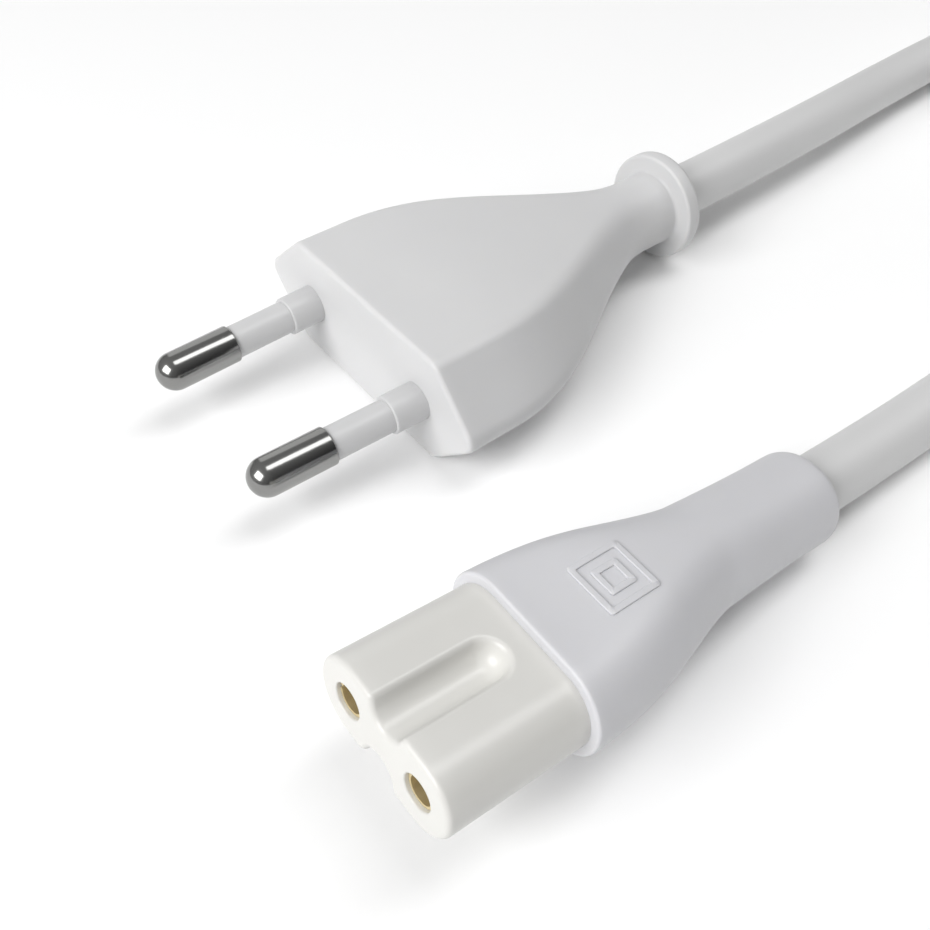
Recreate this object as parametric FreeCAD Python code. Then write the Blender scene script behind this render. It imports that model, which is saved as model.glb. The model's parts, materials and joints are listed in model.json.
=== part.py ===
import FreeCAD, Part
import math
import os

# Mains lead with a two-pin europlug at one end and a two-pole appliance connector at the other.
# Millimetres. X runs across the pins, +Y from the pins to the cord, +Z up from the resting surface.
# The origin lies under the middle of the plug.

# Plug pins
PIN_DIAMETER = 4.0
PIN_LENGTH = 19.0
PIN_SPACING_AT_FACE = 18.6
PIN_SPACING_AT_TIPS = 17.5
SHANK_DIAMETER = 2.5
SHOULDER_DIAMETER = 4.6
SHOULDER_THICKNESS = 1.0

# Insulating sleeves round the pins
SLEEVE_DIAMETER = 3.5
SLEEVE_LENGTH = 10.4
COLLAR_DIAMETER = 4.1
COLLAR_LENGTH = 3.7

# Rigid carrier that holds both pins inside the plug
CARRIER_WIDTH = 27.6
CARRIER_HEIGHT = 7.6
CARRIER_THICKNESS = 3.6
CARRIER_DEPTH = 2.4
CARRIER_WINDOW_WIDTH = 6.0
CARRIER_WINDOW_HEIGHT = 3.0

# Overmould of the plug
PLUG_WIDTH = 35.3
PLUG_HEIGHT = 13.2
PLUG_LENGTH = 42.5
PLUG_FRONT_LENGTH = 6.5
PLUG_SIDE_ANGLE = 45.0
NECK_SIDE_ANGLE = 60.0
PLUG_TIP_RADIUS = 1.8
PLUG_CORNER_RADIUS = 2.0
PLUG_FACE_EDGE_RADIUS = 0.5
NECK_DIAMETER = 8.7
NECK_LENGTH = 1.5
NECK_STEP = 0.25
NECK_ROUNDNESS = 0.97
FLANGE_DIAMETER = 12.8
FLANGE_THICKNESS = 2.2
FLANGE_BEVEL = 0.45

# Cord
CORD_DIAMETER = 6.4
CORE_DIAMETER = 2.2
CORE_GAP = 0.1
CONDUCTOR_DIAMETER = 1.1
SHEATH_IN_PLUG = 10.0
SHEATH_IN_CONNECTOR = 9.0
CRIMP_DIAMETER = 3.0
CRIMP_LENGTH = 5.0
CRIMP_BORE_DEPTH = 4.0
PLUG_CORE_LEAD = 5.0
CONNECTOR_CORE_LEAD = 3.0

# Figure-of-eight insert of the connector
CONTACT_SPACING = 8.6
LOBE_RADIUS = 3.6
WEB_HEIGHT = 3.3
GROOVE_RADIUS = 1.7
GROOVE_WALL_ANGLE = 70.0
GROOVE_LENGTH = 8.9
INSERT_LENGTH = 13.1
INSERT_BEVEL = 0.4
INSERT_ROOT_LENGTH = 6.0
INSERT_ROOT_STEP = 0.9

# Sleeve contacts inside the insert
CONTACT_DIAMETER = 2.9
CONTACT_CLEARANCE = 0.05
CONTACT_BORE = 2.4
CONTACT_RECESS = 0.4
CONTACT_BORE_DEPTH = 11.0
CONTACT_SLIT_WIDTH = 0.4
CONTACT_SLIT_LENGTH = 8.0

# Overmould of the connector
MOULD_LENGTH = 35.5
MOULD_HEIGHT = 10.2
MOULD_LIP = 0.9
MOULD_LIP_BEVEL = 0.3
MOULD_RISE_LENGTH = 12.0
MOULD_OVAL_LENGTH = 23.0
MOULD_END_DIAMETER = 9.3
MOULD_END_LENGTH = 4.0
MOULD_END_BEVEL = 0.9

# Where the connector lies beside the plug
CONNECTOR_X = 38.9
CONNECTOR_Y = -38.4
CONNECTOR_HEADING = -1.2
CONNECTOR_RISE = 8.0
CONNECTOR_FLOOR_GAP = 0.05

# Stored coil and its tie
COIL_X = 33.0
COIL_Y = 130.0
COIL_RADIUS = 34.0
COIL_COLUMNS = 2
COIL_LAYERS = 3
COIL_CHANNEL_CLEARANCE = 0.2
COIL_EXIT_BEARING = -25.0
TIE_THICKNESS = 0.8
TIE_WIDTH = 9.0
TIE_BEARING = 60.0

# Stations along each lofted taper, and the share of its straight sides that stays where it is round
TAPER_STATIONS = 12
MOULD_STATIONS = 12
MOULD_OVAL_TRACE = 0.01

# Share of the shorter run that each bend of the cord takes up
BEND_SHARE = 0.45

# Distance within which an edge counts as lying in a plane
PLANE_TOLERANCE = 1e-4

# Lengths and heights that follow from the sizes above
overall_length = PIN_LENGTH + PLUG_LENGTH + FLANGE_THICKNESS
face_y = PIN_LENGTH - overall_length / 2
plug_axis_z = PLUG_HEIGHT / 2
neck_radius = NECK_DIAMETER / 2
taper_end_radius = neck_radius + NECK_STEP
cord_radius = CORD_DIAMETER / 2
pin_tilt = math.degrees(math.atan((PIN_SPACING_AT_FACE - PIN_SPACING_AT_TIPS) / 2 / PIN_LENGTH))
carrier_back = CARRIER_DEPTH + CARRIER_THICKNESS
crimp_end = carrier_back + SHOULDER_THICKNESS + CRIMP_LENGTH
plug_sheath_start = PLUG_LENGTH + FLANGE_THICKNESS - SHEATH_IN_PLUG
core_offset = (CORE_DIAMETER + CORE_GAP) / 2
connector_length = INSERT_LENGTH + MOULD_LENGTH
connector_slope = math.radians(CONNECTOR_RISE)
tail_axis_z = MOULD_END_DIAMETER / 2 * math.cos(connector_slope) + CONNECTOR_FLOOR_GAP
connector_face_z = tail_axis_z + connector_length * math.sin(connector_slope)
cord_to_floor = (tail_axis_z - cord_radius) / math.sin(connector_slope)
insert_end = INSERT_LENGTH + INSERT_ROOT_LENGTH
contact_end = insert_end + SHOULDER_THICKNESS + CRIMP_LENGTH
connector_sheath_start = connector_length - SHEATH_IN_CONNECTOR
coil_inner = COIL_RADIUS - COIL_COLUMNS * cord_radius
coil_outer = COIL_RADIUS + COIL_COLUMNS * cord_radius
coil_base = TIE_THICKNESS
coil_top = coil_base + COIL_LAYERS * CORD_DIAMETER
outer_turn = coil_outer - cord_radius

X_AXIS = FreeCAD.Vector(1, 0, 0)
Y_AXIS = FreeCAD.Vector(0, 1, 0)
Z_AXIS = FreeCAD.Vector(0, 0, 1)
ORIGIN = FreeCAD.Vector(0, 0, 0)


def ease(share):
    """Fall smoothly from 1 to 0 as the share runs from 0 to 1."""
    share = min(max(share, 0.0), 1.0)
    return (1 + math.cos(math.pi * share)) / 2


def corner_arc(before, corner, after, radius):
    """Start, middle and end of the arc that rounds a corner."""
    back = (before - corner).normalize()
    ahead = (after - corner).normalize()
    half_angle = back.getAngle(ahead) / 2
    setback = radius / math.tan(half_angle)
    bisector = (back + ahead).normalize()
    middle = corner + bisector * (radius / math.sin(half_angle) - radius)
    return corner + back * setback, middle, corner + ahead * setback


def rounded_loop(corners, radii):
    """Closed outline of straight sides with an arc at each corner."""
    count = len(corners)
    arcs = []
    for i in range(count):
        arcs.append(corner_arc(corners[i - 1], corners[i], corners[(i + 1) % count], radii[i]))
    edges = []
    for i in range(count):
        edges.append(Part.Arc(*arcs[i]).toShape())
        edges.append(Part.LineSegment(arcs[i][2], arcs[(i + 1) % count][0]).toShape())
    return Part.Wire(edges)


def route_radius(points, i):
    """Largest even arc at a point of a route, from its two runs and its turn."""
    run_in = points[i] - points[i - 1]
    run_out = points[i + 1] - points[i]
    half_turn = run_in.getAngle(run_out) / 2
    return BEND_SHARE * min(run_in.Length, run_out.Length) / math.tan(half_turn)


def tube(points, radius):
    """Solid round bar along straight runs joined by tangent arcs."""
    edges = []
    last = points[0]
    for i in range(1, len(points) - 1):
        arc = corner_arc(points[i - 1], points[i], points[i + 1], route_radius(points, i))
        edges.append(Part.LineSegment(last, arc[0]).toShape())
        edges.append(Part.Arc(*arc).toShape())
        last = arc[2]
    edges.append(Part.LineSegment(last, points[-1]).toShape())
    path = Part.Wire(edges)
    section = Part.Wire(Part.makeCircle(radius, points[0], points[1] - points[0]))
    return path.makePipeShell([section], True, False)


def lathe(edges):
    """Solid of revolution about Y from a closed outline in the X-Y plane."""
    return Part.Face(Part.Wire(edges)).revolve(ORIGIN, Y_AXIS, 360)


def ring(outer, inner, start, end):
    """Turned ring about Y; an inner radius of 0 makes it a bar."""
    body = Part.makeCylinder(outer, end - start, Y_AXIS * start, Y_AXIS)
    if inner > 0:
        body = body.cut(Part.makeCylinder(inner, end - start, Y_AXIS * start, Y_AXIS))
    return body


def obround(half_length, radius, y):
    """Obround outline across Y, as two straight sides and two half circles."""
    left = FreeCAD.Vector(-half_length, y, 0)
    right = FreeCAD.Vector(half_length, y, 0)
    up = Z_AXIS * radius
    out = X_AXIS * radius
    return Part.Wire([
        Part.LineSegment(left + up, right + up).toShape(),
        Part.Arc(right + up, right + out, right - up).toShape(),
        Part.LineSegment(right - up, left - up).toShape(),
        Part.Arc(left - up, left - out, left + up).toShape(),
    ])


def edges_in_plane(shape, y):
    """Edges that lie wholly in the plane at the given Y."""
    found = []
    for edge in shape.Edges:
        box = edge.BoundBox
        if max(abs(box.YMin - y), abs(box.YMax - y)) < PLANE_TOLERANCE:
            found.append(edge)
    return found


def on_pin_axis(shape, side):
    """Bring a turned piece from the Y axis to one of the two leaning pin axes."""
    piece = shape.copy()
    piece.rotate(ORIGIN, Z_AXIS, -side * pin_tilt)
    piece.translate(pin_base(side))
    return piece


def pin_base(side):
    """Point where a pin axis crosses the plug's face."""
    return FreeCAD.Vector(side * PIN_SPACING_AT_FACE / 2, face_y, plug_axis_z)


def on_connector(shape):
    """Bring a piece from the connector's own axes to where it lies, nose up on its stiff cord."""
    piece = shape.copy()
    piece.rotate(ORIGIN, X_AXIS, -CONNECTOR_RISE)
    piece.rotate(ORIGIN, Z_AXIS, CONNECTOR_HEADING)
    piece.translate(FreeCAD.Vector(CONNECTOR_X, CONNECTOR_Y, connector_face_z))
    return piece


def connector_point(along):
    """Point on the connector's axis, measured back from its face."""
    return on_connector(Part.Vertex(0, along, 0)).Point


def pin_solid():
    """Pin with a ball end, thin shank under the sleeve, shoulder and crimp barrel."""
    pin_radius = PIN_DIAMETER / 2
    ball_y = pin_radius - PIN_LENGTH
    lean = math.sqrt(0.5) * pin_radius
    outline = [
        (pin_radius, ball_y),
        (pin_radius, -SLEEVE_LENGTH),
        (SHANK_DIAMETER / 2, -SLEEVE_LENGTH),
        (SHANK_DIAMETER / 2, carrier_back),
        (SHOULDER_DIAMETER / 2, carrier_back),
        (SHOULDER_DIAMETER / 2, carrier_back + SHOULDER_THICKNESS),
        (CRIMP_DIAMETER / 2, carrier_back + SHOULDER_THICKNESS),
        (CRIMP_DIAMETER / 2, crimp_end),
        (CONDUCTOR_DIAMETER / 2, crimp_end),
        (CONDUCTOR_DIAMETER / 2, crimp_end - CRIMP_BORE_DEPTH),
        (0, crimp_end - CRIMP_BORE_DEPTH),
        (0, -PIN_LENGTH),
    ]
    points = [FreeCAD.Vector(r, y, 0) for r, y in outline]
    edges = [Part.LineSegment(a, b).toShape() for a, b in zip(points, points[1:])]
    ball_middle = FreeCAD.Vector(lean, ball_y - lean, 0)
    edges.append(Part.Arc(points[-1], ball_middle, points[0]).toShape())
    return lathe(edges)


def sleeve_solid():
    """Thin insulating sleeve with the thicker collar that enters the plug's face."""
    shank = SHANK_DIAMETER / 2
    sleeve = ring(SLEEVE_DIAMETER / 2, shank, -SLEEVE_LENGTH, -COLLAR_LENGTH)
    collar = ring(COLLAR_DIAMETER / 2, shank, -COLLAR_LENGTH, CARRIER_DEPTH)
    return sleeve.fuse(collar).removeSplitter()


def carrier_solid(pieces_through):
    """Obround bar with a locking window, bored to fit both pins and their collars."""
    half_length = (CARRIER_WIDTH - CARRIER_HEIGHT) / 2
    bar = Part.Face(obround(half_length, CARRIER_HEIGHT / 2, 0)).extrude(Y_AXIS * CARRIER_THICKNESS)
    window_half = (CARRIER_WINDOW_WIDTH - CARRIER_WINDOW_HEIGHT) / 2
    window_outline = obround(window_half, CARRIER_WINDOW_HEIGHT / 2, 0)
    window = Part.Face(window_outline).extrude(Y_AXIS * CARRIER_THICKNESS)
    bar = bar.cut(window)
    bar.translate(FreeCAD.Vector(0, face_y + CARRIER_DEPTH, plug_axis_z))
    return bar.cut(pieces_through)


def plug_section(y):
    """Six-sided outline of the plug at a distance behind its face, rounder towards the neck."""
    taper_end = PLUG_LENGTH - NECK_LENGTH
    share = (y - PLUG_FRONT_LENGTH) / (taper_end - PLUG_FRONT_LENGTH)
    fall = ease(share)
    half_width = taper_end_radius + (PLUG_WIDTH / 2 - taper_end_radius) * fall
    half_height = taper_end_radius + (PLUG_HEIGHT / 2 - taper_end_radius) * fall
    side_angle = math.radians(NECK_SIDE_ANGLE + (PLUG_SIDE_ANGLE - NECK_SIDE_ANGLE) * fall)
    round_radius = NECK_ROUNDNESS * taper_end_radius
    tip_radius = round_radius + (PLUG_TIP_RADIUS - round_radius) * fall
    corner_radius = round_radius + (PLUG_CORNER_RADIUS - round_radius) * fall
    # A rounded tip stops short of the point where its two sides would meet
    tip_x = half_width + tip_radius * (1 / math.sin(side_angle) - 1)
    flat_x = tip_x - half_height / math.tan(side_angle)
    outline = [(tip_x, 0), (flat_x, half_height), (-flat_x, half_height)]
    outline += [(-x, -z) for x, z in outline]
    corners = [FreeCAD.Vector(x, face_y + y, plug_axis_z + z) for x, z in outline]
    return rounded_loop(corners, [tip_radius, corner_radius, corner_radius] * 2)


def plug_outer():
    """Outer form of the plug: straight front, taper to a round neck, and a stop flange."""
    front = Part.Face(plug_section(0)).extrude(Y_AXIS * PLUG_FRONT_LENGTH)
    front = front.makeFillet(PLUG_FACE_EDGE_RADIUS, edges_in_plane(front, face_y))
    taper_length = PLUG_LENGTH - NECK_LENGTH - PLUG_FRONT_LENGTH
    stations = []
    for i in range(TAPER_STATIONS):
        stations.append(plug_section(PLUG_FRONT_LENGTH + taper_length * i / (TAPER_STATIONS - 1)))
    taper = Part.makeLoft(stations, True, True)
    neck = ring(neck_radius, 0, PLUG_LENGTH - NECK_LENGTH, PLUG_LENGTH)
    flange = ring(FLANGE_DIAMETER / 2, 0, PLUG_LENGTH, PLUG_LENGTH + FLANGE_THICKNESS)
    rims = [e for e in flange.Edges if len(e.Vertexes) == 1]
    flange = flange.makeChamfer(FLANGE_BEVEL, rims)
    tail = neck.fuse(flange)
    tail.translate(FreeCAD.Vector(0, face_y, plug_axis_z))
    return front.fuse([taper, tail])


def plug_core_points(side):
    """Route of a core inside the plug, in line with its pin and then with the cord."""
    axis = FreeCAD.Rotation(Z_AXIS, -side * pin_tilt).multVec(Y_AXIS)
    start = pin_base(side) + axis * crimp_end
    sheath = FreeCAD.Vector(side * core_offset, face_y + plug_sheath_start, plug_axis_z)
    return [start, start + axis * PLUG_CORE_LEAD, sheath - Y_AXIS * PLUG_CORE_LEAD, sheath]


def connector_core_points(side):
    """Route of a core inside the connector, on the connector's own axes."""
    start = FreeCAD.Vector(side * CONTACT_SPACING / 2, contact_end, 0)
    sheath = FreeCAD.Vector(side * core_offset, connector_sheath_start, 0)
    lead = Y_AXIS * CONNECTOR_CORE_LEAD
    return [start, start + lead, sheath - lead, sheath]


def stripped_end(points):
    """Bared end of a core's conductor, where it lies in its crimp."""
    into_crimp = points[0] - points[1]
    return Part.makeCylinder(CONDUCTOR_DIAMETER / 2, CRIMP_BORE_DEPTH, points[0], into_crimp)


def insulated_core(points):
    """Insulated core, bent at two corners between its crimp and the sheath."""
    section = Part.Wire(Part.makeCircle(CORE_DIAMETER / 2, points[0], points[1] - points[0]))
    mitred = 1
    return Part.makePolygon(points).makePipeShell([section], True, False, mitred)


def groove_outline(half):
    """Section of the insert's groove across Y: round bottom, sloping walls, open top."""
    wall = math.radians(GROOVE_WALL_ANGLE)
    bottom_z = WEB_HEIGHT / 2
    tangent_x = GROOVE_RADIUS * math.sin(wall)
    tangent_z = bottom_z + GROOVE_RADIUS * (1 - math.cos(wall))
    top_z = LOBE_RADIUS + GROOVE_RADIUS
    top_x = tangent_x + (top_z - tangent_z) / math.tan(wall)
    bottom = FreeCAD.Vector(0, 0, bottom_z)
    right_tangent = FreeCAD.Vector(tangent_x, 0, tangent_z)
    right_top = FreeCAD.Vector(top_x, 0, top_z)
    if half:
        bend_x = GROOVE_RADIUS * math.sin(wall / 2)
        bend_z = bottom_z + GROOVE_RADIUS * (1 - math.cos(wall / 2))
        left_side = [FreeCAD.Vector(0, 0, top_z), bottom]
        arc = Part.Arc(bottom, FreeCAD.Vector(bend_x, 0, bend_z), right_tangent)
    else:
        left_tangent = FreeCAD.Vector(-tangent_x, 0, tangent_z)
        left_side = [FreeCAD.Vector(-top_x, 0, top_z), left_tangent]
        arc = Part.Arc(left_tangent, bottom, right_tangent)
    edges = [Part.LineSegment(*left_side).toShape(), arc.toShape()]
    edges.append(Part.LineSegment(right_tangent, right_top).toShape())
    edges.append(Part.LineSegment(right_top, left_side[0]).toShape())
    return Part.Wire(edges)


def groove_cutter():
    """Groove along the insert's top with a round far end."""
    run = Part.Face(groove_outline(False)).extrude(Y_AXIS * GROOVE_LENGTH)
    end = Part.Face(groove_outline(True)).revolve(ORIGIN, Z_AXIS, 360)
    end.translate(Y_AXIS * GROOVE_LENGTH)
    return run.fuse(end)


def insert_solid():
    """Rigid insert: obround nose with a groove above and below, and a root inside the overmould."""
    half_spacing = CONTACT_SPACING / 2
    nose = Part.Face(obround(half_spacing, LOBE_RADIUS, 0)).extrude(Y_AXIS * INSERT_LENGTH)
    upper = groove_cutter()
    lower = upper.copy()
    lower.rotate(ORIGIN, Y_AXIS, 180)
    nose = nose.cut([upper, lower])
    nose = nose.makeChamfer(INSERT_BEVEL, edges_in_plane(nose, 0))
    root_radius = LOBE_RADIUS - INSERT_ROOT_STEP
    root = Part.Face(obround(half_spacing, root_radius, INSERT_LENGTH)).extrude(Y_AXIS * INSERT_ROOT_LENGTH)
    return nose.fuse(root).cut([contact_hole(side) for side in (-1, 1)])


def contact_hole(side):
    """Round hole through the insert for one contact."""
    hole_radius = CONTACT_DIAMETER / 2 + CONTACT_CLEARANCE
    start = FreeCAD.Vector(side * CONTACT_SPACING / 2, 0, 0)
    return Part.makeCylinder(hole_radius, insert_end, start, Y_AXIS)


def contact_solid(side):
    """Slit sleeve contact with a shoulder behind the insert and a crimp barrel."""
    bore_end = CONTACT_RECESS + CONTACT_BORE_DEPTH
    shoulder_end = insert_end + SHOULDER_THICKNESS
    outline = [
        (CONTACT_BORE / 2, CONTACT_RECESS),
        (CONTACT_DIAMETER / 2, CONTACT_RECESS),
        (CONTACT_DIAMETER / 2, insert_end),
        (SHOULDER_DIAMETER / 2, insert_end),
        (SHOULDER_DIAMETER / 2, shoulder_end),
        (CRIMP_DIAMETER / 2, shoulder_end),
        (CRIMP_DIAMETER / 2, contact_end),
        (CONDUCTOR_DIAMETER / 2, contact_end),
        (CONDUCTOR_DIAMETER / 2, contact_end - CRIMP_BORE_DEPTH),
        (0, contact_end - CRIMP_BORE_DEPTH),
        (0, bore_end),
        (CONTACT_BORE / 2, bore_end),
    ]
    points = [FreeCAD.Vector(r, y, 0) for r, y in outline]
    contact = lathe([Part.LineSegment(points[i - 1], points[i]).toShape() for i in range(len(points))])
    slit_corner = FreeCAD.Vector(0, CONTACT_RECESS, -CONTACT_SLIT_WIDTH / 2)
    slit = Part.makeBox(CONTACT_DIAMETER, CONTACT_SLIT_LENGTH, CONTACT_SLIT_WIDTH, slit_corner)
    contact = contact.cut(slit)
    if side < 0:
        contact.rotate(ORIGIN, Y_AXIS, 180)
    contact.translate(X_AXIS * (side * CONTACT_SPACING / 2))
    return contact


def mould_section(y):
    """Obround outline of the connector's overmould, which turns round towards the cord."""
    lip_radius = LOBE_RADIUS + MOULD_LIP
    full_radius = MOULD_HEIGHT / 2
    end_radius = MOULD_END_DIAMETER / 2
    rise = ease(y / MOULD_RISE_LENGTH)
    fall_length = MOULD_LENGTH - MOULD_END_LENGTH - MOULD_RISE_LENGTH
    fall = 1 - ease((y - MOULD_RISE_LENGTH) / fall_length)
    radius = full_radius - (full_radius - lip_radius) * rise - (full_radius - end_radius) * fall
    # The loft needs straight sides at every station, so a trace of them stays where it is round
    half_length = CONTACT_SPACING / 2 * max(ease(y / MOULD_OVAL_LENGTH), MOULD_OVAL_TRACE)
    return obround(half_length, radius, INSERT_LENGTH + y)


def mould_outer():
    """Outer form of the connector's overmould, with a bevelled lip and a bevelled cord end."""
    stations = [mould_section(MOULD_LENGTH * i / (MOULD_STATIONS - 1)) for i in range(MOULD_STATIONS)]
    body = Part.makeLoft(stations, True, True)
    body = body.makeChamfer(MOULD_END_BEVEL, edges_in_plane(body, connector_length))
    return body.makeChamfer(MOULD_LIP_BEVEL, edges_in_plane(body, INSERT_LENGTH))


def plug_route():
    """Cord from inside the plug to the coil: straight out, down, then in line with a turn."""
    coil_start = FreeCAD.Vector(COIL_X - outer_turn, COIL_Y, coil_base + cord_radius)
    return [
        FreeCAD.Vector(0, face_y + plug_sheath_start, plug_axis_z),
        FreeCAD.Vector(0, 52.0, plug_axis_z),
        coil_start - Y_AXIS * 38.0,
        coil_start,
    ]


def coil_exit():
    """Point where the cord leaves the coil's second layer, and its direction there."""
    bearing = math.radians(COIL_EXIT_BEARING)
    height = coil_base + cord_radius + CORD_DIAMETER
    outward = FreeCAD.Vector(math.cos(bearing), math.sin(bearing), 0)
    place = FreeCAD.Vector(COIL_X, COIL_Y, height) + outward * outer_turn
    return place, FreeCAD.Vector(math.sin(bearing), -math.cos(bearing), 0)


def connector_route():
    """Cord from the coil's second layer down to the surface and into the connector."""
    leaving, direction = coil_exit()
    on_floor = connector_point(connector_length + 36.0)
    return [
        leaving,
        leaving + direction * 32.0,
        FreeCAD.Vector(on_floor.x, on_floor.y, cord_radius),
        connector_point(connector_length + cord_to_floor),
        connector_point(connector_sheath_start),
    ]


def coil_solid():
    """Ring that holds the stored turns, with a channel where each end of the cord runs in."""
    height = coil_top - coil_base
    centre = FreeCAD.Vector(COIL_X, COIL_Y, coil_base)
    coil = Part.makeCylinder(coil_outer, height, centre).cut(Part.makeCylinder(coil_inner, height, centre))
    channel_radius = cord_radius + COIL_CHANNEL_CLEARANCE
    leaving, direction = coil_exit()
    channels = [
        Part.makeCylinder(channel_radius, coil_outer, plug_route()[-1], -Y_AXIS),
        Part.makeCylinder(channel_radius, coil_outer, leaving, direction),
    ]
    return coil.cut(channels)


def coil_section(margin):
    """Rectangle of the coil's section in the X-Z plane, with a margin all round."""
    near = coil_inner - margin
    far = coil_outer + margin
    low = coil_base - margin
    high = coil_top + margin
    corners = [(near, low), (far, low), (far, high), (near, high), (near, low)]
    return Part.Face(Part.makePolygon([FreeCAD.Vector(x, 0, z) for x, z in corners]))


def tie_solid():
    """Strap round the section of the coil."""
    sweep = math.degrees(TIE_WIDTH / COIL_RADIUS)
    outer = coil_section(TIE_THICKNESS).revolve(ORIGIN, Z_AXIS, sweep)
    inner = coil_section(0).revolve(ORIGIN, Z_AXIS, sweep)
    strap = outer.cut(inner)
    strap.rotate(ORIGIN, Z_AXIS, TIE_BEARING)
    strap.translate(FreeCAD.Vector(COIL_X, COIL_Y, 0))
    return strap


def main():
    """Build every piece and write it to its own file."""
    pieces = {}
    poles = {"live": 1, "neutral": -1}

    # Plug: pins, sleeves, carrier and cores, then the overmould that takes their shape
    for pole, side in poles.items():
        pieces["pin_" + pole] = on_pin_axis(pin_solid(), side)
        pieces["pin_sleeve_" + pole] = on_pin_axis(sleeve_solid(), side)
        pieces["plug_conductor_" + pole] = stripped_end(plug_core_points(side))
        pieces["plug_core_" + pole] = insulated_core(plug_core_points(side))
    pieces["pin_carrier"] = carrier_solid(list(pieces.values()))
    pieces["cord_plug_side"] = tube(plug_route(), cord_radius)
    pieces["plug_body"] = plug_outer().cut(list(pieces.values()))

    # Connector, on its own axes
    connector = {"connector_insert": insert_solid()}
    for pole, side in poles.items():
        connector["contact_" + pole] = contact_solid(side)
        connector["connector_conductor_" + pole] = stripped_end(connector_core_points(side))
        connector["connector_core_" + pole] = insulated_core(connector_core_points(side))
    hollows = [contact_hole(side) for side in poles.values()]
    hollows.append(ring(cord_radius, 0, connector_sheath_start, connector_length))
    connector["connector_body"] = mould_outer().cut(list(connector.values()) + hollows)
    for name, shape in connector.items():
        pieces[name] = on_connector(shape)

    # Cord and coil
    pieces["cord_connector_side"] = tube(connector_route(), cord_radius)
    pieces["cord_coil"] = coil_solid()
    pieces["cord_tie"] = tie_solid()
    for name, route in (("plug side", plug_route()), ("connector side", connector_route())):
        radii = [round(route_radius(route, i), 1) for i in range(1, len(route) - 1)]
        print("cord radii,", name, radii)

    os.makedirs("parts", exist_ok=True)
    for name, shape in pieces.items():
        shape.exportStep("parts/" + name + ".step")


main()
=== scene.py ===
import json
import logging
import math
from dataclasses import dataclass
from enum import Enum
from typing import Optional, Sequence

import bmesh
import bpy
from mathutils import Matrix, Vector


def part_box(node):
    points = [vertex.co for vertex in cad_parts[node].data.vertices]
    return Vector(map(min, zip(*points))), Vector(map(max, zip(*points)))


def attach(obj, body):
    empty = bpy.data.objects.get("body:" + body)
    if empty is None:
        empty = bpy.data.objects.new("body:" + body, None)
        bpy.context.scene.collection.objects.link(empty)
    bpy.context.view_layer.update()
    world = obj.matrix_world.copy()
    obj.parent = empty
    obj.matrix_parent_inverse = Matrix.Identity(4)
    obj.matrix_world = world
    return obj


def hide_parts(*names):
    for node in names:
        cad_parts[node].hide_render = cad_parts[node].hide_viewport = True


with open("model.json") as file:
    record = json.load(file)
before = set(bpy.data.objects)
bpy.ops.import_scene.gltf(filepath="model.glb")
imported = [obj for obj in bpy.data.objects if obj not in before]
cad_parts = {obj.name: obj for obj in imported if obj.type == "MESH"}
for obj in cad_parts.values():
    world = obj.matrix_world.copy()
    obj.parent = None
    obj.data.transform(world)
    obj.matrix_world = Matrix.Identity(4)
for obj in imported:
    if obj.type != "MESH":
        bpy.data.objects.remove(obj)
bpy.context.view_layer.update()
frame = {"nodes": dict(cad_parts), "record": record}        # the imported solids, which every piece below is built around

# A mains lead: a flat two-pin plug, its round cord and a figure-of-eight appliance connector.
# Metres, in the frame of the solids: X across the pins, +Y from the pins to the cord, +Z up.

MM = 0.001
LOG = logging.getLogger("mains_lead")

# The lead is one body, which every piece rides on
BODY = "root"

# Vertices closer than this are merged, and edges this near a plane count as in it
WELD_DISTANCE = 0.002 * MM
PLANE_TOLERANCE = 0.001 * MM

# Sockets of a Mix node, which keeps those for numbers apart from those for colours
MIX_SHARE = 0
MIX_FIRST_NUMBER = 2
MIX_SECOND_NUMBER = 3
MIX_FIRST_COLOUR = 6
MIX_SECOND_COLOUR = 7
MIX_COLOUR_RESULT = 2

Point = tuple[float, float, float]
Profile = list[tuple[float, float]]
Outline = list[Vector]
Ring = list[Vector]


class Pole(Enum):
    """The two poles of the lead, by the side of the plug that each lies on."""

    LIVE = 1
    NEUTRAL = -1

    @property
    def label(self) -> str:
        """The pole's name as it is used in the names of pieces."""
        return self.name.lower()


# Colours and shader nodes


def linear(code: str) -> tuple[float, ...]:
    """Turn an sRGB hex colour into the linear colour that a shader takes.

    Args:
        code: Colour as "#RRGGBB".

    Returns:
        Linear red, green, blue and full alpha.
    """
    channels = [int(code[i:i + 2], 16) / 255 for i in (1, 3, 5)]
    lin = [c / 12.92 if c <= 0.04045 else ((c + 0.055) / 1.055) ** 2.4 for c in channels]
    return (*lin, 1.0)


def add_node(tree: bpy.types.NodeTree, kind: str, settings: Optional[dict] = None,
             links: Optional[dict] = None) -> bpy.types.Node:
    """Add one node to a tree.

    Args:
        tree: Node tree that gets the node.
        kind: Blender's name for the node's type.
        settings: Properties by name, or values of unlinked inputs by socket name or number.
        links: Output sockets by the name or number of the input that each feeds.

    Returns:
        The new node.
    """
    node = tree.nodes.new(kind)
    for name, value in (settings or {}).items():
        if isinstance(name, str) and hasattr(node, name):
            setattr(node, name, value)
        else:
            node.inputs[name].default_value = value
    for name, source in (links or {}).items():
        tree.links.new(source, node.inputs[name])
    return node


# Finishes


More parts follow.
